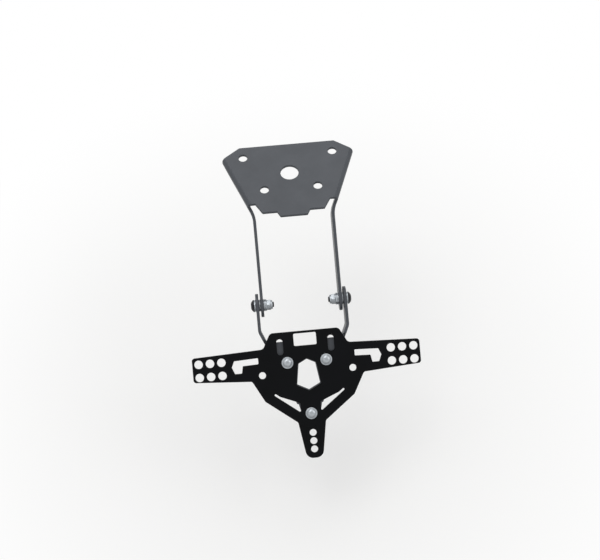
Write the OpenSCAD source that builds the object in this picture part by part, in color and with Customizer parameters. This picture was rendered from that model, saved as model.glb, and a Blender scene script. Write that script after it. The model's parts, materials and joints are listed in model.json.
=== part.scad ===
// Motorcycle tail tidy: a folded bracket bolts under the tail, and its two arms carry
// a folded lower bracket on a clamped tilt pivot. A flat plate for the number plate and
// the indicators is screwed onto the lower bracket.
// Millimetres. The origin is midway between the two front fixing holes, on the top face
// of the tail plate. +Y points to the front of the motorcycle, +Z up, +X to its right.

/* [Sheet] */
// Thickness of the two folded brackets
sheet_t = 3; // [2:0.5:4]
// Inside radius of the folds
fold_in_r = 1.5; // [1:0.5:3]
// Radius of the small corners cut in the sheets
sheet_corner_r = 1.5; // [0.6:0.1:2]

/* [Tail plate] */
// Front edge to rear shoulder
plate_len = 87; // [80:1:100]
// Width of the front edge
plate_front_w = 98; // [92:1:110]
// How far the side corners lie behind the front edge
plate_corner = 14.5; // [10:0.5:20]
// Angle of each side to the centre line
plate_slant = 20; // [16:1:22]
// Width across the rear shoulders
shoulder_w = 62; // [54:1:64]
// Width of the rear tab where it leaves the shoulders
tab_root_w = 33; // [28:1:40]
// Width of the rear tab at its end
tab_w = 27; // [20:1:27]
// Length of the rear tab
tab_len = 6; // [3:0.5:10]
// Depth of the side flanges below the top face
flange_depth = 22; // [18:1:30]
// Radius of the corners beside the front fixing holes
plate_corner_r = 3; // [1:0.5:6]
// Radius of the flanges' lower front corners
flange_corner_r = 8; // [4:1:10]
// Width of the relief notches at their fronts, from the flanges' outer faces
notch_w = 9.1; // [8:0.1:11]
// How far the relief notches reach in front of the shoulders
notch_len = 12; // [10:0.5:15]

/* [Tail fixings] */
// Diameter of the four fixing holes
fix_hole_d = 9; // [6.5:0.5:10]
// Distance between the front fixing holes
front_holes_w = 92; // [86:1:96]
// Front edge to the front fixing holes
front_holes_inset = 14; // [12:0.5:18]
// Distance between the rear fixing holes
rear_holes_w = 54; // [44:1:60]
// Front fixing holes to rear fixing holes
holes_pitch = 44; // [38:1:48]
// Diameter of the cable hole
cable_hole_d = 18.5; // [14:0.5:24]
// Front fixing holes to the cable hole
cable_hole_pitch = 24; // [20:1:28]

/* [Arms] */
// Width across the outside of the arms
arms_w = 82.5; // [78:0.5:86]
// Width of an arm
arm_w = 24; // [20:1:28]
// Pivot axis to the front of the relief notches, along the arms
arm_reach = 102; // [96:1:130]
// Angle of the arms below the tail plate
arm_drop = 35; // [30:1:40]
// Height of the tail plate over the arms' upper edges, at the notches
plate_rise = 6.5; // [6:0.5:12]
// Radius of the bends in the arms
arm_bend_r = 28; // [16:1:30]

/* [Pivot] */
// Thread diameter of the pivot bolts
pivot_d = 6; // [5:1:8]
// Length of the pivot bolts under the head
pivot_len = 20; // [20:1:25]
// Radial clearance of the holes round the pivot bolts
pivot_fit = 0.1; // [0.05:0.01:0.1]
// Side play of each ear between its washers
pivot_play = 0.1; // [0.05:0.05:0.2]
// Diameter of the pivot bolt heads
pivot_head_d = 12.4; // [11:0.2:14]
// Height of the pivot bolt heads
pivot_head_h = 3.3; // [2.8:0.1:4]
// Width across flats of the sockets in the pivot bolts
pivot_socket_af = 4; // [3:0.5:5]
// Diameter of the pivot washers
pivot_washer_d = 12; // [12:0.5:16]
// Thickness of the pivot washers
pivot_washer_t = 1.6; // [1:0.1:1.8]
// Width across flats of the pivot lock nuts
pivot_nut_af = 10; // [10:1:13]
// Height of the pivot lock nuts
pivot_nut_h = 6; // [5:0.5:8]

/* [Lower bracket] */
// Width of an ear
ear_w = 24; // [20:1:24]
// Pivot axis to the bend in the ears
ear_len = 24.3; // [20:0.1:30]
// Radius of the bends in the ears
ear_bend_r = 9; // [6:1:14]
// Height of the base's top face over the pivot axis
base_rise = 12.5; // [12.5:0.5:16]
// Pivot axis to the base's front edge
base_edge = 38; // [36:0.5:40]
// Angle of each side of the base to the centre line
base_slant = 23.5; // [21:0.5:24]
// Pivot axis to the rear end of the side flanges
base_flange_end = 102; // [96:1:104]
// Height of the side flanges at their rear end
base_flange_end_h = 10; // [8:1:14]
// Radius of the base's nose round the lower screw
base_nose_r = 9.5; // [9:0.5:11]
// Diameter of the relief holes at the front ends of the base's folds
relief_d = 7; // [5:0.5:9]
// Width of the recess in the base's front edge
base_recess_w = 28; // [26:1:30]
// Depth of the recess in the base's front edge
base_recess_len = 7; // [6:0.5:8]
// How far the base's window stays inside the carrier's window
window_lip = 0.8; // [0:0.1:1.5]

/* [Carrier plate] */
// Thickness of the carrier plate
carrier_t = 3; // [2:0.5:5]
// Width across the indicator arms
carrier_w = 229; // [220:1:240]
// Pivot axis to the carrier's front edge
crown_edge = 28.4; // [27.6:0.2:29]
// Width of the carrier's front edge
crown_w = 69; // [62:1:72]
// Width where the shoulders meet the indicator arms
crown_root_w = 85.5; // [80:0.5:88]
// Pivot axis to the front edge of the indicator arms at their root
wing_front = 43.8; // [42:0.2:45]
// How far the front edge falls back towards the arm's end
wing_fall = 2.8; // [0:0.2:5]
// Width of an indicator arm at its end
wing_end_w = 24.5; // [22:0.5:28]
// Pivot axis to the rear edge of the indicator arms at their root
wing_rear = 75; // [74:0.5:78]
// Width where the rear edges of the arms meet the body
body_w = 112.6; // [110:0.2:118]
// Width across the lower corners of the body
lower_w = 89.8; // [86:0.2:94]
// Pivot axis to the lower corners of the body
lower_edge = 96.2; // [94:0.2:100]
// Width of the tongue at its root
tongue_root_w = 28; // [26:1:32]
// Pivot axis to the root of the tongue
tongue_root = 119.9; // [118:0.1:123]
// Width of the tongue at its end
tongue_w = 16.2; // [14:0.2:19]
// Pivot axis to the end of the tongue
tongue_end = 156.5; // [155:0.5:170]
// Radius of the carrier's corners at its front edge and where the arms begin
crown_r = 5; // [2:0.5:6]
// Radius of the other corners of the carrier plate
carrier_r = 3; // [1:0.5:3]

/* [Carrier cut-outs] */
// Radius of the cut-outs' corners
cut_corner_r = 1; // [0.5:0.1:1.2]
// Width of the front window
front_window_w = 22.8; // [18:0.2:25]
// Length of the front window
front_window_len = 12.4; // [10:0.2:12.4]
// Pivot axis to the middle of the front window
front_window_at = 37; // [36.5:0.1:37]
// Width of the hexagonal window
hex_window_w = 24.6; // [20:0.2:24.6]
// Pivot axis to the front point of the hexagonal window
hex_window_at = 56.2; // [56:0.1:58]
// Length of the hexagonal window
hex_window_len = 32.5; // [28:0.5:33]
// Width of the hexagonal window at its front shoulders
hex_shoulder_w = 18.4; // [14:0.2:20]
// Angle of the hexagonal window's short edges
hex_slant = 27; // [20:1:30]
// Width of the cable slots
slot_w = 6.5; // [5:0.5:7]
// Length of the cable slots
slot_len = 16; // [12:0.5:17]
// Distance between the cable slots
slots_w = 51.4; // [50:0.2:54]
// Pivot axis to the middle of the cable slots
slots_at = 43.1; // [42:0.1:44]
// Width of the struts beside the triangular windows
strut_w = 10; // [8:0.5:11]
// Width of the post round the lower screw
post_w = 20.4; // [18:0.2:21]
// Width across the outer ends of the triangular windows
tri_windows_w = 70.2; // [64:0.2:72]
// Pivot axis to the inner front corners of the triangular windows
tri_window_at = 100.6; // [100:0.2:103]
// Angle of the front edges of the triangular windows
tri_slant = 22; // [18:1:23]
// Length of their narrow outer ends, across the motorcycle
tri_end_w = 5.6; // [3:0.2:7]
// Distance between the inner ends of the cut-outs in the indicator arms
cut_in_w = 97; // [94:0.5:104]
// Middle of the innermost indicator holes to their outer ends
cut_web = 10; // [8:0.1:14]
// Pivot axis to their front edges at the inner end
cut_at = 51.9; // [51:0.1:53]
// Width of their slots
cut_slot_w = 6.1; // [5:0.1:6.5]
// Width of the wider outer part
cut_foot_w = 11; // [9:0.2:14]
// Length of the wider outer part
cut_foot_len = 14; // [10:0.5:15]

/* [Carrier holes] */
// Diameter of the indicator holes
indicator_hole_d = 8.5; // [6.5:0.5:8.5]
// Arm's end to the middle of the outermost indicator holes
indicator_inset = 6.4; // [6:0.1:9]
// Pitch of the indicator holes across the motorcycle
indicator_pitch_x = 11.4; // [11:0.2:12]
// Pitch of the indicator holes along the arm's width
indicator_pitch_y = 13.2; // [12:0.2:14]
// Pivot axis to the middle of the indicator holes
indicator_at = 59.8; // [59:0.2:60.6]
// Diameter of the number plate holes
plate_hole_d = 7; // [5:0.5:7]
// Distance between the number plate holes
plate_holes_w = 91; // [86:1:96]
// Pivot axis to the number plate holes
plate_holes_at = 69.8; // [68:0.2:72]
// Pitch of the three holes in the tongue
tongue_pitch = 8.3; // [8:0.1:9]
// Tongue's end to the last hole in the tongue
tongue_hole_inset = 8.8; // [8:0.1:12]

/* [Carrier screws] */
// Thread diameter of the carrier screws
screw_d = 5; // [4:0.5:5]
// Length of the carrier screws under the head
screw_len = 16; // [16:1:20]
// Flange diameter of the carrier screws
screw_head_d = 11.8; // [10:0.2:12]
// Height of the carrier screws' heads
screw_head_h = 2.8; // [2.4:0.1:3.2]
// Diameter of the domes on their flanges
screw_dome_d = 9.4; // [8.5:0.1:10]
// Thickness of their flanges
screw_flange_t = 0.9; // [0.6:0.1:1.2]
// Width across flats of their sockets
screw_socket_af = 3; // [2.5:0.5:4]
// Radial clearance of the holes round the carrier screws
screw_fit = 0.25; // [0.1:0.05:0.4]
// Distance between the upper carrier screws
screws_w = 39; // [38:0.5:40]
// Pivot axis to the upper carrier screws
screws_at = 59.2; // [59:0.2:61]
// Pivot axis to the lower carrier screw
lower_screw_at = 111.6; // [110:0.1:112]
// Diameter of the carrier washers
washer_d = 10; // [9:0.5:10]
// Thickness of the carrier washers
washer_t = 1; // [0.8:0.1:1.5]
// Width across flats of the carrier lock nuts
nut_af = 8; // [8:0.5:9]
// Height of the carrier lock nuts
nut_h = 5; // [4:0.5:5.5]

/* [Hidden] */
$fn = 64;

// Cuts run past the faces that they leave by this much
over = 1;
// Gap between a nut's bore and its thread
thread_gap = 0.05;
// Overlap of a rounded corner's fillet with the sides it joins
lap = 0.4;
// A rounding runs this deep through the faces it blends, so that it crosses them
bite = 0.02;
// Rim below the dome of a pivot bolt's head
head_rim = 0.8;
// Share of a head's height that its socket takes
socket_share = 0.65;
// Share of a lock nut's height that its collar takes
collar_share = 0.27;
// How much wider the collar is than the middle between thread and flats
collar_rim = 1;

fold_r = fold_in_r + sheet_t;

// The walls of the upper bracket stand square to the plane of the arms, so seen
// along that plane's normal the plate's sides splay by wall_splay, and the fold
// turns past a right angle by fold_lean.
wall_splay = atan(tan(plate_slant) / cos(arm_drop));
fold_lean = asin(sin(wall_splay) * sin(arm_drop));

// The relief notches' fronts, as the distance behind the front edge of the plate
notch_at = plate_len - notch_len;
notch_rise = arm_w / 2 + plate_rise;
// The pivot axis
pivot_y = front_holes_inset - notch_at - arm_reach * cos(arm_drop) + notch_rise * sin(arm_drop);
pivot_z = -arm_reach * sin(arm_drop) - notch_rise * cos(arm_drop);

// Half widths, from the centre line outwards
arm_out = arms_w / 2;
arm_in = arm_out - sheet_t;
ear_in = arm_out + pivot_washer_t + pivot_play;
ear_out = ear_in + sheet_t;
head_seat = ear_out + pivot_play + pivot_washer_t;
nut_seat = arm_in - 2 * pivot_washer_t;

// Along the arms, from the pivot axis: the step behind the flanges, whose foot is
// where the bend ends, and the side corners of the plate
step_reach = arm_reach - over * cos(arm_drop);
step_rise = notch_rise + over * sin(arm_drop);
step_foot = step_reach - (step_rise - arm_w / 2) * tan(arm_drop);
bend_start = step_foot - (arm_bend_r + sheet_t) * sin(wall_splay);
corner_reach = arm_reach + (notch_at - plate_corner) * cos(arm_drop);
plate_side = arm_out + arm_bend_r * (1 - cos(wall_splay))
    + (corner_reach - bend_start - arm_bend_r * sin(wall_splay)) * tan(wall_splay);

indicator_out = carrier_w / 2 - indicator_inset;
cut_out = indicator_out - 2 * indicator_pitch_x - cut_web;

pivot_hole_d = pivot_d + 2 * pivot_fit;
screw_hole_d = screw_d + 2 * screw_fit;
base_bottom = base_rise - sheet_t;
carrier_top = base_rise + carrier_t;

plate_colour = "#4c4f53";
carrier_colour = "#1e1f22";
zinc_colour = "#c3c6c8";
black_colour = "#232427";

// The unit vector along v
function unit(v) = v / norm(v);

// Half the angle of the outline p at its corner i
function half_angle(p, i) = acos(to_last(p, i) * to_next(p, i)) / 2;
function to_last(p, i) = unit(p[(i + len(p) - 1) % len(p)] - p[i]);
function to_next(p, i) = unit(p[(i + 1) % len(p)] - p[i]);
function is_outward(p, i) = cross(to_last(p, i), to_next(p, i)) < 0;
function points(rows) = [for (row = rows) [row[0], row[1]]];

// The centre of a circle of radius r that touches both sides at corner i of outline p
function corner_centre(p, i, r) = p[i]
    + unit(to_last(p, i) + to_next(p, i)) * r / sin(half_angle(p, i));

// The area between that corner and the circle's centre, lapping past the sides
module corner_area(p, i, r) {
    run = r / tan(half_angle(p, i));
    sides = is_outward(p, i) ? [to_last(p, i), to_next(p, i)] : [to_next(p, i), to_last(p, i)];
    centre = corner_centre(p, i, r);
    corners = [centre, p[i] + sides[0] * run, p[i], p[i] + sides[1] * run];
    polygon([for (c = corners) centre + (c - centre) * (r + lap) / r]);
}

// An outline, counterclockwise, of rows [x, y, corner radius]
module rounded(rows) {
    p = points(rows);
    outward = [for (i = [0:len(p) - 1]) if (rows[i][2] > 0 && is_outward(p, i)) i];
    inward = [for (i = [0:len(p) - 1]) if (rows[i][2] > 0 && !is_outward(p, i)) i];
    difference() {
        union() {
            polygon(p);
            for (i = inward) corner_area(p, i, rows[i][2]);
        }
        for (i = outward) difference() {
            corner_area(p, i, rows[i][2]);
            translate(corner_centre(p, i, rows[i][2])) circle(r = rows[i][2] + bite);
        }
        for (i = inward) translate(corner_centre(p, i, rows[i][2])) circle(r = rows[i][2] + bite);
    }
}

// A symmetrical outline's rows, from those of its right half
function both_halves(rows) = concat(
    rows, [for (i = [len(rows) - 1:-1:0]) [-rows[i][0], rows[i][1], rows[i][2]]]
);

// Both sides, the right one being the child
module both_sides() {
    children();
    mirror([1, 0, 0]) children();
}

// The arms' frame: the pivot axis along X, Y along the arms to the tail plate and
// Z out of the carrier plate's face
module in_arm_frame() {
    translate([0, pivot_y, pivot_z]) rotate([arm_drop, 0, 0]) children();
}

// A shape of the arms' frame drawn as [along the arms, height], made w wide from x
module side_prism(x, w) {
    translate([x, 0, 0]) rotate([90, 0, 90]) linear_extrude(w) children();
}

// The section of a folded edge, with the corner of its outer faces at the origin:
// what is outside the fold, and the fillet inside it
module fold_outside(lean) {
    k = (1 + sin(lean)) / cos(lean);
    centre = [-fold_r * k, -fold_r];
    square_on = [cos(lean), -sin(lean)];
    seat = centre + fold_r * square_on;
    difference() {
        polygon([centre, seat, seat + over * square_on, [over, over], [centre[0], over]]);
        translate(centre) circle(r = fold_r + bite);
    }
}

module fold_inside(lean) {
    k = (1 + sin(lean)) / cos(lean);
    centre = [-fold_r * k, -fold_r];
    into_sheet = fold_in_r + sheet_t / 2;
    difference() {
        polygon([
            centre, centre + into_sheet * [cos(lean), -sin(lean)],
            [-k, -1] * sheet_t / 2, centre + [0, into_sheet],
        ]);
        translate(centre) circle(r = fold_in_r + bite);
    }
}

// A section carried along a fold, from first to last. The fold passes through the
// origin and slants from there to the rear and inwards.
module along_fold(slant, first, last) {
    rotate([0, 0, -slant]) translate([0, -first, 0]) rotate([90, 0, 0])
        linear_extrude(last - first) children();
}

// A wall's path from above. It is straight up to the origin and then bends by splay to
// the right, where its near face has the radius bend_r.
module bent_path(splay, bend_r, back, ahead) {
    far_r = bend_r + sheet_t;
    near = [0, bend_r * tan(splay / 2)];
    near_end = near + ahead * [sin(splay), cos(splay)];
    rounded([
        [-sheet_t, -back, 0],
        [0, -back, 0],
        concat(near, bend_r),
        concat(near_end, 0),
        concat(near_end + sheet_t * [-cos(splay), sin(splay)], 0),
        [-sheet_t, far_r * tan(splay / 2), far_r],
    ]);
}

module button_head(d, h, rim, socket_af) {
    dome = h - rim;
    dome_r = (d * d / 4 + dome * dome) / (2 * dome);
    difference() {
        rotate_extrude() intersection() {
            translate([0, h - dome_r]) circle(r = dome_r);
            square([d / 2, h]);
        }
        translate([0, 0, h * (1 - socket_share)])
            cylinder(d = socket_af / cos(30), h = h, $fn = 6);
    }
}

module shank(d, len) {
    chamfer = d / 10;
    translate([0, 0, -len]) cylinder(d1 = d - 2 * chamfer, d2 = d, h = chamfer);
    translate([0, 0, chamfer - len]) cylinder(d = d, h = len - chamfer);
}

module washer(hole_d, d, t) {
    difference() {
        cylinder(d = d, h = t);
        translate([0, 0, -over]) cylinder(d = hole_d, h = t + 2 * over);
    }
}

// A lock nut on its seat, with the collar towards +Z
module lock_nut(thread_d, af, h) {
    difference() {
        union() {
            cylinder(d = af / cos(30), h = h * (1 - collar_share), $fn = 6);
            cylinder(d = (af + thread_d) / 2 + collar_rim, h = h);
        }
        translate([0, 0, -over]) cylinder(d = thread_d + 2 * thread_gap, h = h + 2 * over);
    }
}

// Upper bracket

// The tail plate from above, out to the flanges' outer faces
module plate_outline() {
    shoulder_side = plate_side - (plate_len - plate_corner) * tan(plate_slant);
    rows = [
        [tab_w / 2, -plate_len - tab_len, sheet_corner_r],
        [tab_root_w / 2, -plate_len, 0],
        [shoulder_side, -plate_len, 0],
        [plate_side, -plate_corner, 0],
        [plate_front_w / 2, 0, plate_corner_r],
    ];
    translate([0, front_holes_inset]) rounded(both_halves(rows));
}

// The relief notch between the plate's right shoulder and the right flange
module notch_outline() {
    side = plate_side - (notch_at - plate_corner) * tan(plate_slant);
    translate([0, front_holes_inset]) rounded([
        [shoulder_w / 2, -plate_len, 0],
        [shoulder_w / 2, -plate_len - over, 0],
        [side + over, -plate_len - over, 0],
        [side + over, -notch_at, 0],
        [side - notch_w, -notch_at, sheet_corner_r],
    ]);
}

// The right wall's outline from the side, in the arms' frame
module arm_profile() {
    // Down from the plate, and the heights of its top face and of its lower edge
    down = -[sin(arm_drop), cos(arm_drop)];
    corner = [corner_reach, notch_rise - (corner_reach - arm_reach) * tan(arm_drop)];
    low_reach = arm_reach + (notch_rise + arm_w / 2) / tan(arm_drop) - flange_depth / sin(arm_drop);
    circle(d = arm_w);
    rounded([
        [0, -arm_w / 2, 0],
        [low_reach, -arm_w / 2, arm_w],
        concat(corner + flange_depth * down, flange_corner_r),
        concat(corner, 0),
        [step_reach, step_rise, 0],
        [step_foot, arm_w / 2, 0],
        [0, arm_w / 2, 0],
    ]);
}

module upper_wall() {
    intersection() {
        translate([arm_out, bend_start, -arm_reach]) linear_extrude(2 * arm_reach)
            bent_path(wall_splay, arm_bend_r, bend_start + arm_w, 2 * plate_len);
        side_prism(0, plate_len) arm_profile();
    }
}

module plate_hole(x, y, d) {
    translate([x, y, -sheet_t - over]) cylinder(d = d, h = sheet_t + 2 * over);
}

module upper_bracket() {
    side_len = (notch_at - plate_corner) / cos(plate_slant);
    color(plate_colour) difference() {
        union() {
            translate([0, 0, -sheet_t]) linear_extrude(sheet_t) plate_outline();
            both_sides() in_arm_frame() upper_wall();
            both_sides() at_side_corner() along_fold(plate_slant, fold_r, side_len + over)
                fold_inside(fold_lean);
        }
        both_sides() at_side_corner() along_fold(plate_slant, -plate_corner, side_len + sheet_t)
            fold_outside(fold_lean);
        both_sides() translate([0, 0, -plate_rise / cos(arm_drop)]) linear_extrude(2 * plate_rise)
            notch_outline();
        both_sides() plate_hole(front_holes_w / 2, 0, fix_hole_d);
        both_sides() plate_hole(rear_holes_w / 2, -holes_pitch, fix_hole_d);
        plate_hole(0, -cable_hole_pitch, cable_hole_d);
        in_arm_frame() rotate([0, 90, 0]) cylinder(d = pivot_hole_d, h = 2 * arms_w, center = true);
    }
}

module at_side_corner() {
    translate([plate_side, front_holes_inset - plate_corner, 0]) children();
}

// Lower bracket

// Half the width across the folded sides' outer faces, at a distance behind the pivot
function base_side(at) = ear_in - ear_bend_r + (ear_bend_r + sheet_t) / cos(base_slant)
    - (at - ear_len) * tan(base_slant);

module base_outline() {
    inset = sheet_t / 2;
    rows = [
        [base_nose_r, -lower_screw_at - base_nose_r, base_nose_r - lap],
        [base_nose_r, -lower_screw_at, 0],
        [base_side(base_flange_end) - inset, -base_flange_end, 0],
        [base_side(base_edge) - inset, -base_edge, 0],
        [base_recess_w / 2, -base_edge, sheet_corner_r],
        [base_recess_w / 2, -base_edge - base_recess_len, sheet_corner_r],
    ];
    rounded(both_halves(rows));
}

// The ear and flange from the side
module ear_profile() {
    circle(d = ear_w);
    rounded([
        [0, -ear_w / 2, 0],
        [0, ear_w / 2, 0],
        [-base_edge, ear_w / 2, 0],
        [-base_edge, base_rise, 0],
        [-base_flange_end, base_rise, 0],
        [-base_flange_end, base_rise - base_flange_end_h, fold_r],
        [-base_edge, -ear_w / 2, ear_w],
    ]);
}

module lower_wall() {
    intersection() {
        translate([ear_in, -ear_len, -ear_w]) rotate([0, 0, 180]) linear_extrude(2 * ear_w)
            bent_path(base_slant, ear_bend_r, ear_len + ear_w, base_flange_end);
        side_prism(0, ear_out + over) ear_profile();
    }
}

// The window in front of the lower screw, made smaller all round by lip
module hex_window(lip) {
    slope = tan(hex_slant);
    front = -hex_window_at - lip / cos(hex_slant);
    back = -hex_window_at - hex_window_len + lip / cos(hex_slant);
    half = hex_window_w / 2 - lip;
    shoulder = hex_shoulder_w / 2 - lip;
    rounded([
        [0, front, cut_corner_r],
        [-shoulder, front - shoulder * slope, cut_corner_r],
        [-half, back + half * slope, cut_corner_r],
        [0, back, cut_corner_r],
        [half, back + half * slope, cut_corner_r],
        [shoulder, front - shoulder * slope, cut_corner_r],
    ]);
}

module screw_places() {
    both_sides() translate([screws_w / 2, -screws_at, 0]) children();
    translate([0, -lower_screw_at, 0]) children();
}

module lower_bracket() {
    side_len = (base_flange_end - base_edge) / cos(base_slant);
    color(plate_colour) in_arm_frame() difference() {
        union() {
            translate([0, 0, base_bottom]) linear_extrude(sheet_t) base_outline();
            both_sides() lower_wall();
            both_sides() at_base_corner() along_fold(base_slant, relief_d / 2 - lap, side_len - sheet_t)
                fold_inside(0);
        }
        both_sides() at_base_corner() along_fold(base_slant, 0, side_len + fold_r * tan(base_slant))
            fold_outside(0);
        both_sides() translate([base_side(base_edge) - sheet_t / 2, -base_edge, base_rise - fold_r - lap])
            cylinder(d = relief_d, h = 2 * fold_r);
        translate([0, 0, base_bottom - over]) linear_extrude(sheet_t + 2 * over) hex_window(window_lip);
        screw_places() translate([0, 0, base_bottom - over])
            cylinder(d = screw_hole_d, h = sheet_t + 2 * over);
        rotate([0, 90, 0]) cylinder(d = pivot_hole_d, h = 2 * arms_w, center = true);
    }
}

module at_base_corner() {
    translate([base_side(base_edge), -base_edge, base_rise]) children();
}

// Carrier plate

module carrier_outline() {
    rows = [
        [tongue_w / 2, -tongue_end, tongue_w / 2 - lap],
        [tongue_root_w / 2, -tongue_root, carrier_r],
        [lower_w / 2, -lower_edge, carrier_r],
        [body_w / 2, -wing_rear, carrier_r],
        [carrier_w / 2, -wing_front - wing_fall - wing_end_w, carrier_r],
        [carrier_w / 2, -wing_front - wing_fall, carrier_r],
        [crown_root_w / 2, -wing_front, crown_r],
        [crown_w / 2, -crown_edge, crown_r],
    ];
    rounded(both_halves(rows));
}

// The cut-out in the right indicator arm. Its edges fall with the arm's front edge.
module wing_cut() {
    slope = wing_fall / (carrier_w - crown_root_w) * 2;
    foot_in = cut_out - cut_foot_w;
    slot_back = -cut_at - cut_slot_w;
    foot_back = -cut_at - cut_foot_len;
    bevel = cut_foot_w / 4;
    rounded([
        [cut_in_w / 2, -cut_at, cut_corner_r],
        [cut_in_w / 2, slot_back, cut_corner_r],
        [foot_in, slot_back - (foot_in - cut_in_w / 2) * slope, cut_corner_r],
        [foot_in + bevel / 2, foot_back, cut_corner_r],
        [cut_out - bevel, foot_back, cut_corner_r],
        [cut_out, (slot_back + foot_back) / 2 + bevel, cut_corner_r],
        [cut_out - bevel, -cut_at - (cut_out - cut_in_w / 2) * slope, cut_corner_r],
    ]);
}

// The right triangular window. Its rear edge runs beside the body's lower edge.
module triangle_window() {
    slope = (tongue_root - lower_edge) / (lower_w - tongue_root_w) * 2;
    back = -lower_edge - lower_w / 2 * slope + strut_w * sqrt(1 + slope * slope);
    inner = post_w / 2;
    outer = tri_windows_w / 2;
    kink = outer - tri_end_w;
    kink_y = -tri_window_at + (kink - inner) * tan(tri_slant);
    rounded([
        [inner, back + inner * slope, cut_corner_r],
        [outer, back + outer * slope, cut_corner_r],
        [outer, kink_y + tri_end_w * slope, cut_corner_r],
        [kink, kink_y, 0],
        [inner, -tri_window_at, cut_corner_r],
    ]);
}

module window_slot(x, at, w, len) {
    translate([x, -at]) {
        square([w, len - w], center = true);
        for (side = [-1, 1]) translate([0, side * (len - w) / 2]) circle(d = w);
    }
}

module carrier_cuts() {
    rounded(both_halves([
        [front_window_w / 2, -front_window_at - front_window_len / 2, sheet_corner_r],
        [front_window_w / 2, -front_window_at + front_window_len / 2, sheet_corner_r],
    ]));
    hex_window(0);
    both_sides() {
        window_slot(slots_w / 2, slots_at, slot_w, slot_len);
        wing_cut();
        triangle_window();
        for (i = [0:2], j = [-0.5, 0.5])
            translate([indicator_out - i * indicator_pitch_x, j * indicator_pitch_y - indicator_at])
                circle(d = indicator_hole_d);
        translate([plate_holes_w / 2, -plate_holes_at]) circle(d = plate_hole_d);
    }
    for (i = [0:2])
        translate([0, i * tongue_pitch + tongue_hole_inset - tongue_end]) circle(d = plate_hole_d);
    screw_places() circle(d = screw_hole_d);
}

module carrier_plate() {
    color(carrier_colour) in_arm_frame() translate([0, 0, base_rise]) linear_extrude(carrier_t)
        difference() {
            carrier_outline();
            carrier_cuts();
        }
}

// Pivot

// Along the pivot axis from x, on the right side and outwards
module on_pivot(x) {
    in_arm_frame() translate([x, 0, 0]) rotate([0, 90, 0]) children();
}

module pivot_bolt() {
    color(black_colour) on_pivot(head_seat) {
        button_head(pivot_head_d, pivot_head_h, head_rim, pivot_socket_af);
        shank(pivot_d, pivot_len);
    }
}

module pivot_washer(x) {
    color(zinc_colour) on_pivot(x) washer(pivot_hole_d, pivot_washer_d, pivot_washer_t);
}

module pivot_nut() {
    color(zinc_colour) on_pivot(nut_seat) mirror([0, 0, 1]) lock_nut(pivot_d, pivot_nut_af, pivot_nut_h);
}

module on_left() {
    mirror([1, 0, 0]) children();
}

module pivot_bolt_right() pivot_bolt();
module pivot_bolt_left() on_left() pivot_bolt();
module head_washer_right() pivot_washer(ear_out + pivot_play);
module head_washer_left() on_left() pivot_washer(ear_out + pivot_play);
module pivot_spacer_right() pivot_washer(arm_out);
module pivot_spacer_left() on_left() pivot_washer(arm_out);
module arm_washer_right() pivot_washer(arm_in - pivot_washer_t);
module arm_washer_left() on_left() pivot_washer(arm_in - pivot_washer_t);
module nut_washer_right() pivot_washer(nut_seat);
module nut_washer_left() on_left() pivot_washer(nut_seat);
module pivot_nut_right() pivot_nut();
module pivot_nut_left() on_left() pivot_nut();

// Carrier screws

module upper_screw_place(side) {
    in_arm_frame() translate([side * screws_w / 2, -screws_at, 0]) children();
}

module lower_screw_place() {
    in_arm_frame() translate([0, -lower_screw_at, 0]) children();
}

module carrier_screw() {
    color(zinc_colour) translate([0, 0, carrier_top]) {
        cylinder(d = screw_head_d, h = screw_flange_t);
        button_head(screw_dome_d, screw_head_h, screw_flange_t, screw_socket_af);
        shank(screw_d, screw_len);
    }
}

module carrier_washer() {
    color(zinc_colour) translate([0, 0, base_bottom - washer_t]) washer(screw_hole_d, washer_d, washer_t);
}

module carrier_nut() {
    color(zinc_colour) translate([0, 0, base_bottom - washer_t]) mirror([0, 0, 1])
        lock_nut(screw_d, nut_af, nut_h);
}

module carrier_screw_left() upper_screw_place(-1) carrier_screw();
module carrier_screw_right() upper_screw_place(1) carrier_screw();
module carrier_screw_lower() lower_screw_place() carrier_screw();
module carrier_washer_left() upper_screw_place(-1) carrier_washer();
module carrier_washer_right() upper_screw_place(1) carrier_washer();
module carrier_washer_lower() lower_screw_place() carrier_washer();
module carrier_nut_left() upper_screw_place(-1) carrier_nut();
module carrier_nut_right() upper_screw_place(1) carrier_nut();
module carrier_nut_lower() lower_screw_place() carrier_nut();

upper_bracket();
lower_bracket();
carrier_plate();
pivot_bolt_left();
pivot_bolt_right();
head_washer_left();
head_washer_right();
pivot_spacer_left();
pivot_spacer_right();
arm_washer_left();
arm_washer_right();
nut_washer_left();
nut_washer_right();
pivot_nut_left();
pivot_nut_right();
carrier_screw_left();
carrier_screw_right();
carrier_screw_lower();
carrier_washer_left();
carrier_washer_right();
carrier_washer_lower();
carrier_nut_left();
carrier_nut_right();
carrier_nut_lower();
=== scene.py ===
import json
import math
import bpy
from mathutils import Matrix, Vector


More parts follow.
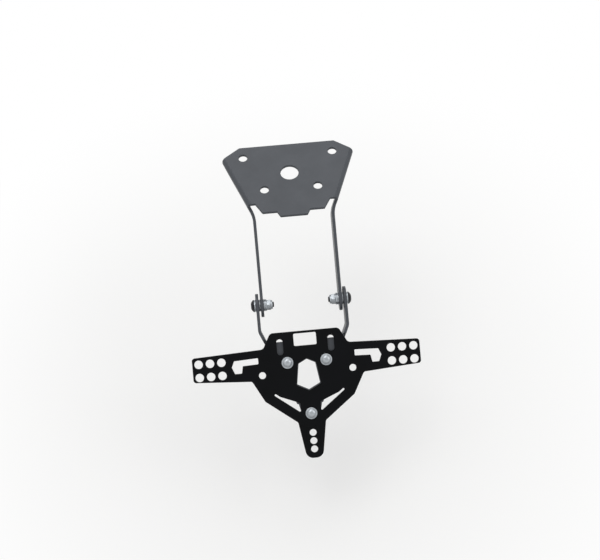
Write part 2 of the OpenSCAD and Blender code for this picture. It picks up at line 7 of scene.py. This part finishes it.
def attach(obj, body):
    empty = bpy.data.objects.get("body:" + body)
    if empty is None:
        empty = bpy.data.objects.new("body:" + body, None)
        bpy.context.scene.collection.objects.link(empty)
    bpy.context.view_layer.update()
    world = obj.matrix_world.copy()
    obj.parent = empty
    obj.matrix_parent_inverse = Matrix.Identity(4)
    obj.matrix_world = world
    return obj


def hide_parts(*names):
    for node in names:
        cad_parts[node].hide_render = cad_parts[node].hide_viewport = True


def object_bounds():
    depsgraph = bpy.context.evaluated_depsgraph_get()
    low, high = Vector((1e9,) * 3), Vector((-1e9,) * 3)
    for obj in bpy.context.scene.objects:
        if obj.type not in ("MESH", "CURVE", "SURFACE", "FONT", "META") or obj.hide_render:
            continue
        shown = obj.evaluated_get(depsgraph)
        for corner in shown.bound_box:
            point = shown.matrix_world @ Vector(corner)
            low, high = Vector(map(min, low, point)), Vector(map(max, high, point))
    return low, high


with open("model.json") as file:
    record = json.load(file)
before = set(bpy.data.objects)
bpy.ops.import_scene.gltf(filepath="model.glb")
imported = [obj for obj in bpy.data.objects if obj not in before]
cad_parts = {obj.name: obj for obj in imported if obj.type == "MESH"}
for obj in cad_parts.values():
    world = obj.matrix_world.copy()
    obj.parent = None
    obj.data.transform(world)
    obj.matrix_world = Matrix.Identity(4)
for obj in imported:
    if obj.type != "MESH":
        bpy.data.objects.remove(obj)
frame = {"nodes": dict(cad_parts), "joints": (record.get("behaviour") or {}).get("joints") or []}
bpy.ops.object.select_all(action="DESELECT")
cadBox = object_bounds()
print("frame loaded")

mm = 0.001
pivot = Vector(frame["joints"][0]["pos_m"])
armDrop = math.radians(35)
# along the arms: X across, Y to the tail, Z out of the carrier's face
armFrame = Matrix.Translation(pivot) @ Matrix.Rotation(armDrop, 4, "X")


# materials: one function for each kind of finish, the values in finishes below

def linearColour(hexCode):
    # sRGB hex to linear, opaque
    values = [int(hexCode[i:i + 2], 16) / 255 for i in (1, 3, 5)]
    return [v / 12.92 if v <= 0.04045 else ((v + 0.055) / 1.055) ** 2.4 for v in values] + [1.0]


def addNode(tree, kind, inputs=None, **settings):
    # inputs: socket name or number to a value or to another node's output
    node = tree.nodes.new(kind)
    for name, value in settings.items():
        setattr(node, name, value)
    for key, value in (inputs or {}).items():
        socket = node.inputs[key]
        if isinstance(value, bpy.types.NodeSocket):
            tree.links.new(value, socket)
        else:
            socket.default_value = value
    return node


def newMaterial(name):
    material = bpy.data.materials.new(name)
    material.use_nodes = True
    tree = material.node_tree
    tree.nodes.clear()
    return material, tree


def powderCoat(name, look):
    # polyester powder coat, sprayed and baked: an even satin film with a fine orange peel
    material, tree = newMaterial(name)
    place = addNode(tree, "ShaderNodeTexCoord").outputs["Object"]
    peel = addNode(tree, "ShaderNodeTexNoise", {
        "Vector": place, "Scale": 1 / (look["peelSize"] * mm), "Detail": 2.0, "Roughness": 0.45})
    cloud = addNode(tree, "ShaderNodeTexNoise", {
        "Vector": place, "Scale": 1 / (look["cloudSize"] * mm), "Detail": 3.0, "Roughness": 0.5})
    tint = addNode(tree, "ShaderNodeValToRGB", {"Fac": cloud.outputs["Fac"]})
    tint.color_ramp.elements[0].position = 0.3
    tint.color_ramp.elements[0].color = linearColour(look["shade"])
    tint.color_ramp.elements[1].position = 0.72
    tint.color_ramp.elements[1].color = linearColour(look["colour"])
    dull = addNode(tree, "ShaderNodeMapRange", {
        "Value": cloud.outputs["Fac"], "From Min": 0.3, "From Max": 0.7,
        "To Min": look["roughness"] - 0.03, "To Max": look["roughness"] + 0.04})
    bump = addNode(tree, "ShaderNodeBump", {
        "Height": peel.outputs["Fac"], "Strength": look["peelDepth"], "Distance": 0.05 * mm})
    shader = addNode(tree, "ShaderNodeBsdfPrincipled", {
        "Base Color": tint.outputs["Color"], "Roughness": dull.outputs["Result"],
        "IOR": 1.5, "Specular IOR Level": look["specular"], "Normal": bump.outputs["Normal"]})
    addNode(tree, "ShaderNodeOutputMaterial", {"Surface": shader.outputs["BSDF"]})
    return material


def platedSteel(name, look):
    # turned or pressed steel with a thin plating: bright, slightly clouded, with fine scratches
    material, tree = newMaterial(name)
    place = addNode(tree, "ShaderNodeTexCoord").outputs["Object"]
    cloud = addNode(tree, "ShaderNodeTexNoise", {
        "Vector": place, "Scale": 1 / (look["cloudSize"] * mm), "Detail": 4.0, "Roughness": 0.6})
    grain = addNode(tree, "ShaderNodeTexNoise", {
        "Vector": place, "Scale": 1 / (look["grainSize"] * mm), "Detail": 2.0})
    tint = addNode(tree, "ShaderNodeValToRGB", {"Fac": cloud.outputs["Fac"]})
    tint.color_ramp.elements[0].position = 0.3
    tint.color_ramp.elements[0].color = linearColour(look["shade"])
    tint.color_ramp.elements[1].position = 0.7
    tint.color_ramp.elements[1].color = linearColour(look["colour"])
    dull = addNode(tree, "ShaderNodeMapRange", {
        "Value": cloud.outputs["Fac"], "From Min": 0.3, "From Max": 0.7,
        "To Min": look["roughness"] - 0.06, "To Max": look["roughness"] + 0.08})
    bump = addNode(tree, "ShaderNodeBump", {
        "Height": grain.outputs["Fac"], "Strength": 0.25, "Distance": 0.02 * mm})
    shader = addNode(tree, "ShaderNodeBsdfPrincipled", {
        "Base Color": tint.outputs["Color"], "Metallic": look["metallic"],
        "Roughness": dull.outputs["Result"], "Normal": bump.outputs["Normal"]})
    addNode(tree, "ShaderNodeOutputMaterial", {"Surface": shader.outputs["BSDF"]})
    return material


def mouldedNylon(name, look):
    # natural nylon ring, moulded: milky, with a soft sheen
    material, tree = newMaterial(name)
    place = addNode(tree, "ShaderNodeTexCoord").outputs["Object"]
    cloud = addNode(tree, "ShaderNodeTexNoise", {
        "Vector": place, "Scale": 1 / (look["cloudSize"] * mm), "Detail": 2.0})
    tint = addNode(tree, "ShaderNodeValToRGB", {"Fac": cloud.outputs["Fac"]})
    tint.color_ramp.elements[0].color = linearColour(look["shade"])
    tint.color_ramp.elements[1].color = linearColour(look["colour"])
    shader = addNode(tree, "ShaderNodeBsdfPrincipled", {
        "Base Color": tint.outputs["Color"], "Roughness": look["roughness"], "IOR": 1.53})
    addNode(tree, "ShaderNodeOutputMaterial", {"Surface": shader.outputs["BSDF"]})
    return material


finishes = {
    "bracketCoat": dict(colour="#54575c", shade="#4b4e53", roughness=0.36, specular=0.2,
                        peelSize=0.9, peelDepth=0.3, cloudSize=28),
    "carrierCoat": dict(colour="#0e0f12", shade="#0b0c0e", roughness=0.3, specular=0.065,
                        peelSize=0.9, peelDepth=0.3, cloudSize=30),
    "zinc": dict(colour="#b4b9bd", shade="#989da2", roughness=0.34, metallic=1.0,
                 cloudSize=2.5, grainSize=0.25),
    "blackOxide": dict(colour="#26272a", shade="#1b1c1e", roughness=0.38, metallic=0.7,
                       cloudSize=2.5, grainSize=0.3),
    "nylon": dict(colour="#dfe2de", shade="#d2d6d1", roughness=0.42, cloudSize=1.5),
}
materials = {
    "bracketCoat": powderCoat("satin powder coat, anthracite", finishes["bracketCoat"]),
    "carrierCoat": powderCoat("satin powder coat, black", finishes["carrierCoat"]),
    "zinc": platedSteel("zinc plated steel", finishes["zinc"]),
    "blackOxide": platedSteel("black oxide steel", finishes["blackOxide"]),
    "nylon": mouldedNylon("natural nylon", finishes["nylon"]),
}
# in the imported record, the nylon is inside the zinc nuts
print("materials ready")


# small modelling steps, all sizes in millimetres

def startPiece(name):
    piece = bpy.context.object
    piece.name = name
    bpy.ops.object.transform_apply(location=True, rotation=True, scale=True)
    return piece


def objectMode():
    if bpy.context.object:
        bpy.ops.object.mode_set(mode="OBJECT")
    bpy.ops.object.select_all(action="DESELECT")


def editMode(piece, select="ALL"):
    objectMode()
    bpy.context.view_layer.objects.active = piece
    piece.select_set(True)
    bpy.ops.object.mode_set(mode="EDIT")
    bpy.ops.mesh.select_all(action="SELECT" if select == "ALL" else "DESELECT")


def pickFaces(piece, test):
    # selects the faces whose centre and normal pass the test
    editMode(piece, "NONE")
    bpy.ops.mesh.select_mode(type="FACE")
    bpy.ops.object.mode_set(mode="OBJECT")
    for face in piece.data.polygons:
        face.select = test(face.center, face.normal)
    bpy.ops.object.mode_set(mode="EDIT")


def pickEdges(piece, test, level=True):
    # selects the edges whose two ends pass the test, by default only those that lie level
    editMode(piece, "NONE")
    bpy.ops.mesh.select_mode(type="EDGE")
    bpy.ops.object.mode_set(mode="OBJECT")
    points = piece.data.vertices
    for edge in piece.data.edges:
        ends = [points[i].co for i in edge.vertices]
        lies = abs(ends[0].z - ends[1].z) < 0.001 * mm or not level
        edge.select = lies and all(test(end) for end in ends)
    bpy.ops.object.mode_set(mode="EDIT")


def applyModifier(piece, kind, **settings):
    objectMode()
    bpy.context.view_layer.objects.active = piece
    piece.select_set(True)
    modifier = piece.modifiers.new("step", kind)
    for name, value in settings.items():
        setattr(modifier, name, value)
    bpy.ops.object.modifier_apply(modifier=modifier.name)


def cutWith(piece, tool, operation="DIFFERENCE"):
    applyModifier(piece, "BOOLEAN", operation=operation, object=tool, solver="EXACT")
    bpy.data.objects.remove(tool, do_unlink=True)


def rounded(piece, width, segments, angle):
    applyModifier(piece, "BEVEL", width=width * mm, segments=segments, limit_method="ANGLE",
                  angle_limit=math.radians(angle))


def smooth(piece, angle):
    objectMode()
    bpy.context.view_layer.objects.active = piece
    piece.select_set(True)
    bpy.ops.object.shade_smooth_by_angle(angle=math.radians(angle))
    objectMode()


def rod(name, radius, low, high, vertices, turn=0.0):
    objectMode()
    bpy.ops.mesh.primitive_cylinder_add(vertices=vertices, radius=radius * mm, depth=(high - low) * mm,
                                        location=(0, 0, (low + high) / 2 * mm), rotation=(0, 0, turn))
    return startPiece(name)


def joined(name, pieces):
    objectMode()
    for piece in pieces:
        piece.select_set(True)
    bpy.context.view_layer.objects.active = pieces[0]
    bpy.ops.object.join()
    pieces[0].name = name
    objectMode()
    return pieces[0]


def wearFinish(piece, finish):
    piece.data.materials.clear()
    piece.data.materials.append(materials[finish])


def finishPiece(source, name, place, finish, body, node=None):
    # a copy of the model with its own mesh, moved to its place in the mesh
    piece = source.copy()
    piece.data = source.data.copy()
    bpy.context.collection.objects.link(piece)
    piece.name = name
    piece.data.transform(place)
    wearFinish(piece, finish)
    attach(piece, body)
    if node:
        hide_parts(node)


# the three folded or flat plates; tight: the right hand corners of the folds, the left ones mirror them
sheetForm = dict(merge=0.002, flatAngle=0.4, sharpAngle=40, segments=3, smoothAngle=30)
plates = {
    "upper_bracket": dict(piece="upperBracket", body="upper", finish="bracketCoat", edge=0.5,
                          tight=[(64.2, -3.6, -3.0), (43.5, -61.0, -3.5)], tightReach=5.0),
    "lower_bracket": dict(piece="lowerBracket", body="lower", finish="bracketCoat", edge=0.5,
                          tight=[(12.5, -223.0, -122.3), (38.2, -170.8, -89.0)], tightReach=6.0),
    "carrier_plate": dict(piece="carrierPlate", body="lower", finish="carrierCoat", edge=0.5,
                          tight=[], tightReach=0.0),
}


def markCutEdges(sheet, plate):
    # sharp edges are marked for rounding, except in the folds' tight corners, which stay as cut
    editMode(sheet, "NONE")
    bpy.ops.mesh.select_mode(type="EDGE")
    bpy.ops.mesh.edges_select_sharp(sharpness=math.radians(sheetForm["sharpAngle"]))
    objectMode()
    marks = sheet.data.attributes.new("bevel_weight_edge", "FLOAT", "EDGE")
    spots = [Vector(spot) * mm for spot in plate["tight"]]
    for edge in sheet.data.edges:
        ends = [sheet.data.vertices[i].co for i in edge.vertices]
        near = any((Vector((abs(end.x), end.y, end.z)) - spot).length < plate["tightReach"] * mm
                   for end in ends for spot in spots)
        marks.data[edge.index].value = float(edge.select and not near)


def softenedPlate(node, plate):
    # coated sheet has no sharp edge: the laser cut edges are rounded a little
    cad = frame["nodes"][node]
    sheet = bpy.data.objects.new(plate["piece"], cad.data.copy())
    bpy.context.collection.objects.link(sheet)
    editMode(sheet)
    bpy.ops.mesh.remove_doubles(threshold=sheetForm["merge"] * mm)
    bpy.ops.mesh.dissolve_limited(angle_limit=math.radians(sheetForm["flatAngle"]))
    markCutEdges(sheet, plate)
    applyModifier(sheet, "BEVEL", width=plate["edge"] * mm, segments=sheetForm["segments"],
                  limit_method="WEIGHT", use_clamp_overlap=False, loop_slide=False)
    smooth(sheet, sheetForm["smoothAngle"])
    # the flat faces stay flat beside their rounded edges
    applyModifier(sheet, "WEIGHTED_NORMAL", weight=100, keep_sharp=True)
    wearFinish(sheet, plate["finish"])
    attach(sheet, plate["body"])
    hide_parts(node)


for node, plate in plates.items():
    softenedPlate(node, plate)
print("sheet metal ready")


# screws, washers and lock nuts: shares are of the thread's pitch or of the piece's own size
threadForm = dict(depth=0.6, flankEnd=0.44, crestEnd=0.56, tip=0.11, steps=36, start=1.013, root=0.2)
headForm = dict(land=0.45, socketFoot=0.42, edge=0.12, sides=96)
washerForm = dict(edge=0.18, sides=72)
nutForm = dict(collar=0.27, cornerCut=0.075, edge=0.07, sides=72, wall=0.55, lip=0.4, ringEdge=0.12)
sliver = 0.01  # how near a corner lies to the plane it is picked by
hair = 0.02  # how far a cutting shape stands past the shape it cuts

def hexagonCorner(flats):
    # radius of the corners of a hexagon from its width across flats
    return flats / 2 / math.cos(math.pi / 6)


def threadedRod(name, diameter, pitch, low, high):
    # a helical thread, cut square at both ends and chamfered at the free one
    form = threadForm
    crest, root = diameter / 2 * mm, (diameter / 2 - form["depth"] * pitch) * mm
    turns = math.ceil((high - low) / pitch) + 2
    bpy.ops.mesh.primitive_plane_add(size=1 * mm)
    thread = startPiece(name)
    corners = [(root, 0, 0), (crest, 0, form["flankEnd"] * pitch * mm),
               (root, 0, pitch * mm), (crest, 0, form["crestEnd"] * pitch * mm)]
    for vertex, corner in zip(thread.data.vertices, corners):
        vertex.co = corner
    # the plane's corners run 0, 1, 3, 2, so the open side is the edge from 0 to 2
    editMode(thread)
    bpy.ops.mesh.delete(type="ONLY_FACE")
    pickEdges(thread, lambda p: abs(p.x - root) < 0.001 * mm, level=False)
    bpy.ops.mesh.delete(type="EDGE")
    objectMode()
    applyModifier(thread, "SCREW", axis="Z", screw_offset=pitch * mm, iterations=turns, steps=form["steps"],
                  render_steps=form["steps"], use_merge_vertices=True, merge_threshold=0.001 * mm,
                  use_normal_calculate=True)
    # the coil starts a little past a whole pitch, so that the cuts miss its own corners
    for point in thread.data.vertices:
        point.co.z += (low - form["start"] * pitch) * mm
    editMode(thread)
    bpy.ops.mesh.remove_doubles(threshold=0.001 * mm)
    bpy.ops.mesh.fill_holes(sides=0)
    bpy.ops.mesh.normals_make_consistent(inside=False)
    blank = rod("blank", diameter / 2 + hair, low, high, 48)
    pickEdges(blank, lambda p: p.z < (low + sliver) * mm)
    bpy.ops.mesh.bevel(offset=form["tip"] * diameter * mm, segments=1)
    objectMode()
    cutWith(thread, blank, "INTERSECT")
    return thread


def buttonHead(name, diameter, height, rim, socket):
    # a low dome on a short rim, with a flat land round its hexagonal socket
    peak = height + headForm["land"]
    dome = peak - rim
    radius = (diameter ** 2 / 4 + dome ** 2) / (2 * dome)
    head = rod(name, diameter / 2, 0, height, headForm["sides"])
    bpy.ops.mesh.primitive_uv_sphere_add(segments=headForm["sides"], ring_count=headForm["sides"],
                                         radius=(radius + sliver) * mm, location=(0, 0, (peak - radius) * mm))
    cutWith(head, startPiece("dome"), "INTERSECT")
    foot = height * headForm["socketFoot"]
    cutWith(head, rod("socket", hexagonCorner(socket), foot, height + 1, 6, math.radians(30)))
    # the drill's cone at the foot of the socket
    bpy.ops.mesh.primitive_cone_add(vertices=48, radius1=0, radius2=socket / 2 * mm, depth=socket / 4 * mm,
                                    location=(0, 0, (foot - socket / 8 + sliver) * mm))
    cutWith(head, startPiece("socketFoot"))
    rounded(head, headForm["edge"], 2, 40)
    smooth(head, 30)
    return head


def flatWasher(name, hole, diameter, thickness):
    ring = rod(name, diameter / 2, 0, thickness, washerForm["sides"])
    pickFaces(ring, lambda c, n: abs(n.z) > 0.9)
    bpy.ops.mesh.inset(thickness=(diameter - hole) / 2 * mm, use_individual=True)
    bpy.ops.mesh.delete(type="FACE")
    pickEdges(ring, lambda p: math.hypot(p.x, p.y) < (hole / 2 + 0.05) * mm)
    bpy.ops.mesh.bridge_edge_loops()
    editMode(ring)
    bpy.ops.mesh.normals_make_consistent(inside=False)
    objectMode()
    rounded(ring, washerForm["edge"], 3, 40)
    smooth(ring, 35)
    return ring


def lockNut(name, thread, flats, height):
    # hexagon with turned corners, and a rolled collar that holds the nylon ring
    form = nutForm
    hexTop = height * (1 - form["collar"])
    corner = hexagonCorner(flats)
    # turned a little, so that its corners miss the hexagon's
    turned = rod("turned", corner + hair, 0, hexTop, form["sides"], 0.01)
    pickEdges(turned, lambda p: p.z < sliver * mm or p.z > (hexTop - sliver) * mm)
    bpy.ops.mesh.bevel(offset=form["cornerCut"] * flats * mm, segments=1)
    objectMode()
    cutWith(turned, rod("bore", thread / 2 + hair, -1, height + 1, 48))
    hexagon = rod(name, corner, -1, hexTop + 1, 6, math.radians(30))
    cutWith(hexagon, turned, "INTERSECT")
    rounded(hexagon, form["edge"], 2, 25)
    outer = (flats + thread) / 4 + 0.5
    inner = outer - form["wall"]
    collar = rod("collar", outer, hexTop - 0.3, height, form["sides"])
    cutWith(collar, rod("pocket", inner, hexTop + 0.1, height + 1, 60))
    cutWith(collar, rod("bore", thread / 2 + 0.05, 0, height, 48))
    pickEdges(collar, lambda p: p.z > (height - sliver) * mm and math.hypot(p.x, p.y) > (outer - 0.1) * mm)
    bpy.ops.mesh.bevel(offset=form["lip"] * mm, segments=5)
    objectMode()
    nut = joined(name, [hexagon, collar])
    smooth(nut, 32)
    insert = rod(name + "Insert", inner - sliver, hexTop + 0.12, height - 0.25, 60)
    cutWith(insert, rod("bore", thread / 2 - 0.08, 0, height, 48))
    rounded(insert, form["ringEdge"], 3, 40)
    smooth(insert, 35)
    return nut, insert


# seats: how far each piece sits from the middle, along the pivot
pivotParts = {
    "bolt": dict(diameter=6.0, pitch=1.0, length=20.0, head=12.4, headHeight=3.3, rim=0.8, socket=4.0),
    "washer": dict(hole=6.2, diameter=12.0, thickness=1.6),
    "nut": dict(flats=10.0, height=6.0),
    "seats": dict(head=47.65, headWasher=46.05, spacer=41.25, armWasher=36.65, nutWasher=35.05),
}
# seats: heights over the pivot along the carrier's normal; places: across and along the carrier
carrierParts = {
    "screw": dict(diameter=5.0, pitch=0.8, length=16.0, flange=11.8, flangeThickness=0.9,
                  head=9.4, headHeight=2.8, socket=3.0),
    "washer": dict(hole=5.5, diameter=10.0, thickness=1.0),
    "nut": dict(flats=8.0, height=5.0),
    "seats": dict(head=15.5, washer=8.5),
    "places": dict(left=(-19.5, -59.2), right=(19.5, -59.2), lower=(0.0, -111.6)),
}


def pivotBolt():
    size = pivotParts["bolt"]
    head = buttonHead("pivotHead", size["head"], size["headHeight"], size["rim"], size["socket"])
    shank = threadedRod("pivotShank", size["diameter"], size["pitch"], -size["length"], threadForm["root"])
    smooth(shank, 40)
    return joined("pivotBolt", [head, shank])


def carrierScrew():
    size = carrierParts["screw"]
    thickness = size["flangeThickness"]
    head = buttonHead("screwHead", size["head"], size["headHeight"], thickness, size["socket"])
    flange = rod("flange", size["flange"] / 2, 0, thickness, washerForm["sides"])
    pickEdges(flange, lambda p: p.z > (thickness - sliver) * mm)
    bpy.ops.mesh.bevel(offset=thickness / 2 * mm, segments=4)
    objectMode()
    smooth(flange, 32)
    shank = threadedRod("screwShank", size["diameter"], size["pitch"], -size["length"], threadForm["root"])
    smooth(shank, 40)
    return joined("carrierScrew", [head, flange, shank])


def onPivot(side, x):
    # the piece's own Z points outwards on either side
    turn = Matrix.Rotation(math.radians(90 * side), 4, "Y")
    return armFrame @ Matrix.Translation((side * x * mm, 0, 0)) @ turn


seats = pivotParts["seats"]
boltModel = pivotBolt()
washerModel = flatWasher("pivotWasher", **pivotParts["washer"])
nutModel, nutInsert = lockNut("pivotNut", pivotParts["bolt"]["diameter"], **pivotParts["nut"])
halfTurn = Matrix.Rotation(math.pi, 4, "X")
for sideName, side in (("left", -1), ("right", 1)):
    tail = sideName.capitalize()
    finishPiece(boltModel, "pivotBolt" + tail, onPivot(side, seats["head"]), "blackOxide", "upper",
                "pivot_bolt_" + sideName)
    for part, node in (("headWasher", "head_washer_"), ("spacer", "pivot_spacer_"),
                       ("armWasher", "arm_washer_"), ("nutWasher", "nut_washer_")):
        finishPiece(washerModel, part + tail, onPivot(side, seats[part]), "zinc", "upper", node + sideName)
    inward = onPivot(side, seats["nutWasher"]) @ halfTurn
    finishPiece(nutModel, "pivotNut" + tail, inward, "zinc", "upper", "pivot_nut_" + sideName)
    finishPiece(nutInsert, "pivotNutInsert" + tail, inward, "nylon", "upper")
print("pivot hardware ready")

screwModel = carrierScrew()
smallWasher = flatWasher("carrierWasher", **carrierParts["washer"])
smallNut, smallInsert = lockNut("carrierNut", carrierParts["screw"]["diameter"], **carrierParts["nut"])
seats = carrierParts["seats"]
for placeName, (x, y) in carrierParts["places"].items():
    tail = placeName.capitalize()
    top = armFrame @ Matrix.Translation((x * mm, y * mm, seats["head"] * mm))
    under = armFrame @ Matrix.Translation((x * mm, y * mm, seats["washer"] * mm))
    finishPiece(screwModel, "carrierScrew" + tail, top, "zinc", "lower", "carrier_screw_" + placeName)
    finishPiece(smallWasher, "carrierWasher" + tail, under, "zinc", "lower", "carrier_washer_" + placeName)
    finishPiece(smallNut, "carrierNut" + tail, under @ halfTurn, "zinc", "lower", "carrier_nut_" + placeName)
    finishPiece(smallInsert, "carrierNutInsert" + tail, under @ halfTurn, "nylon", "lower")
for model in (boltModel, washerModel, nutModel, nutInsert, screwModel, smallWasher, smallNut, smallInsert):
    bpy.data.objects.remove(model, do_unlink=True)
print("carrier hardware ready")


# floor, lights and camera

middle = (0, -0.12, -0.06)
# floorDrop, in mm under the part, leaves room for the carrier when it is tilted all the way down;
# from clearFrom to clearTo, in metres, the floor clears to white
stageLook = dict(floorDrop=85.0, floorColour="#fcfcfb", floorSize=6.0, floorRoughness=0.9, floorGloss=0.1,
                 clearNear=0.4, clearFrom=0.15, clearTo=0.5, worldColour="#ffffff", worldLevel=0.5)


def paleFloor():
    bpy.ops.mesh.primitive_plane_add(size=stageLook["floorSize"],
                                     location=(0, -0.1, cadBox[0][2] - stageLook["floorDrop"] * mm))
    floor = startPiece("floor")
    # the floor takes the part's shadow and turns into the white background further out
    material, tree = newMaterial("pale floor")
    place = addNode(tree, "ShaderNodeTexCoord").outputs["Object"]
    away = addNode(tree, "ShaderNodeVectorMath", {0: place, 1: (0, -0.12, cadBox[0][2])},
                   operation="DISTANCE").outputs["Value"]
    clear = addNode(tree, "ShaderNodeMapRange", {
        "Value": away, "From Min": stageLook["clearFrom"], "From Max": stageLook["clearTo"],
        "To Min": stageLook["clearNear"]}, interpolation_type="SMOOTHSTEP").outputs["Result"]
    seen = addNode(tree, "ShaderNodeLightPath").outputs["Is Camera Ray"]
    share = addNode(tree, "ShaderNodeMath", {0: clear, 1: seen}, operation="MULTIPLY").outputs[0]
    shader = addNode(tree, "ShaderNodeBsdfPrincipled", {
        "Base Color": linearColour(stageLook["floorColour"]), "Roughness": stageLook["floorRoughness"],
        "Specular IOR Level": stageLook["floorGloss"]})
    white = addNode(tree, "ShaderNodeEmission", {
        "Color": linearColour(stageLook["worldColour"]), "Strength": 1.0})
    mix = addNode(tree, "ShaderNodeMixShader", {
        "Fac": share, 1: shader.outputs["BSDF"], 2: white.outputs["Emission"]})
    addNode(tree, "ShaderNodeOutputMaterial", {"Surface": mix.outputs["Shader"]})
    floor.data.materials.append(material)


def paleWorld():
    world = bpy.data.worlds.new("pale studio")
    bpy.context.scene.world = world
    world.use_nodes = True
    tree = world.node_tree
    tree.nodes.clear()
    rays = addNode(tree, "ShaderNodeLightPath").outputs
    seen = addNode(tree, "ShaderNodeMath", {0: rays["Is Camera Ray"], 1: rays["Is Glossy Ray"]},
                   operation="MAXIMUM").outputs[0]
    seen = addNode(tree, "ShaderNodeMath", {0: seen, 1: rays["Is Transmission Ray"]},
                   operation="MAXIMUM").outputs[0]
    level = addNode(tree, "ShaderNodeMapRange", {
        "Value": seen, "To Min": stageLook["worldLevel"], "To Max": 1.0})
    light = addNode(tree, "ShaderNodeBackground", {
        "Color": linearColour(stageLook["worldColour"]), "Strength": level.outputs["Result"]})
    addNode(tree, "ShaderNodeOutputWorld", {"Surface": light.outputs["Background"]})


lamps = {
    "backPanel": dict(place=(0.05, 0.75, 1.0), size=1.0, power=4.0),
    "topPanel": dict(place=(-0.45, 0.0, 1.3), size=0.8, power=5.0),
    "sidePanel": dict(place=(1.0, -0.3, 0.8), size=0.7, power=2.8),
}


def softLamp(name, lamp):
    data = bpy.data.lights.new(name, "AREA")
    data.shape = "SQUARE"
    data.size = lamp["size"]
    data.energy = lamp["power"]
    light = bpy.data.objects.new(name, data)
    bpy.context.collection.objects.link(light)
    light.location = lamp["place"]
    aim = Vector(middle) - Vector(lamp["place"])
    light.rotation_euler = aim.to_track_quat("-Z", "Y").to_euler()


view = dict(azimuth=-3.2003, elevation=55.3282, roll=-2.4665, distance=1.1492, across=0.0005, up=0.003,
            focalPixels=1135.96, imageWidth=600, sensorWidth=36)


def photoCamera():
    az, el, roll = (math.radians(view[k]) for k in ("azimuth", "elevation", "roll"))
    back = Vector((math.sin(az) * math.cos(el), -math.cos(az) * math.cos(el), math.sin(el)))
    right = Vector((math.cos(az), math.sin(az), 0))
    up = back.cross(right)
    right, up = (right * math.cos(roll) + up * math.sin(roll), up * math.cos(roll) - right * math.sin(roll))
    spot = Vector(middle) + back * view["distance"] + right * view["across"] + up * view["up"]
    data = bpy.data.cameras.new("camera")
    data.sensor_width = view["sensorWidth"]
    data.lens = view["sensorWidth"] * view["focalPixels"] / view["imageWidth"]
    data.clip_start = 0.01
    camera = bpy.data.objects.new("camera", data)
    bpy.context.collection.objects.link(camera)
    camera.matrix_world = Matrix.Translation(spot) @ Matrix((right, up, back)).transposed().to_4x4()
    bpy.context.scene.camera = camera


paleFloor()
paleWorld()
for name, lamp in lamps.items():
    softLamp(name, lamp)
photoCamera()
bpy.context.scene.view_settings.view_transform = "Standard"
print("stage ready")
